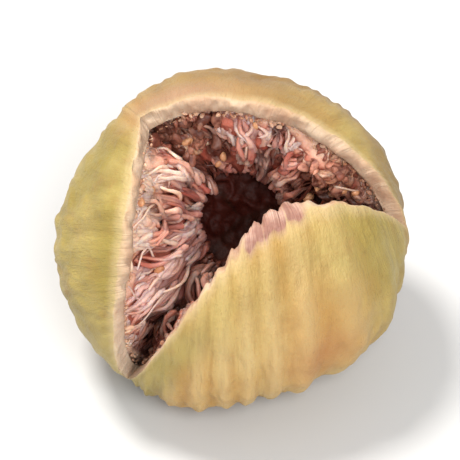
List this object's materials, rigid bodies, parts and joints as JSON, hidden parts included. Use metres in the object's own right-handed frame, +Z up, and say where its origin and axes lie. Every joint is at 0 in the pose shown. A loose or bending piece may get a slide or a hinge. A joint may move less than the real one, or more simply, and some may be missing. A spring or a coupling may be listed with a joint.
{
  "type": "dried fig with a split eye",
  "caption": "Small dried fig with a ribbed golden-green rind, split open in lobes over threaded pink-brown pulp with a dark hollow, and a short stalk at its neck.",
  "frame": {"origin": "the middle of the fig's box in plan, on the surface that it rests on", "axes": "+Z up, the split looks up and towards -Y, and the neck with its stalk points back along +Y"},
  "size_m": [0.0288, 0.0294, 0.025],
  "materials": {
    "rind": "dry, softly waxy fruit skin in golden yellow to yellow-green, with a pale cream pith at the torn rim",
    "pulp": "dried fig pulp, rosy brown threads with pale pink tips and golden tan seeds, slightly moist",
    "stalk": "dry woody stalk with a cut end"
  },
  "bodies": {
    "root": {"rind": "rind", "pulp": "pulp", "stalk": "stalk"}
  },
  "joints": []
}
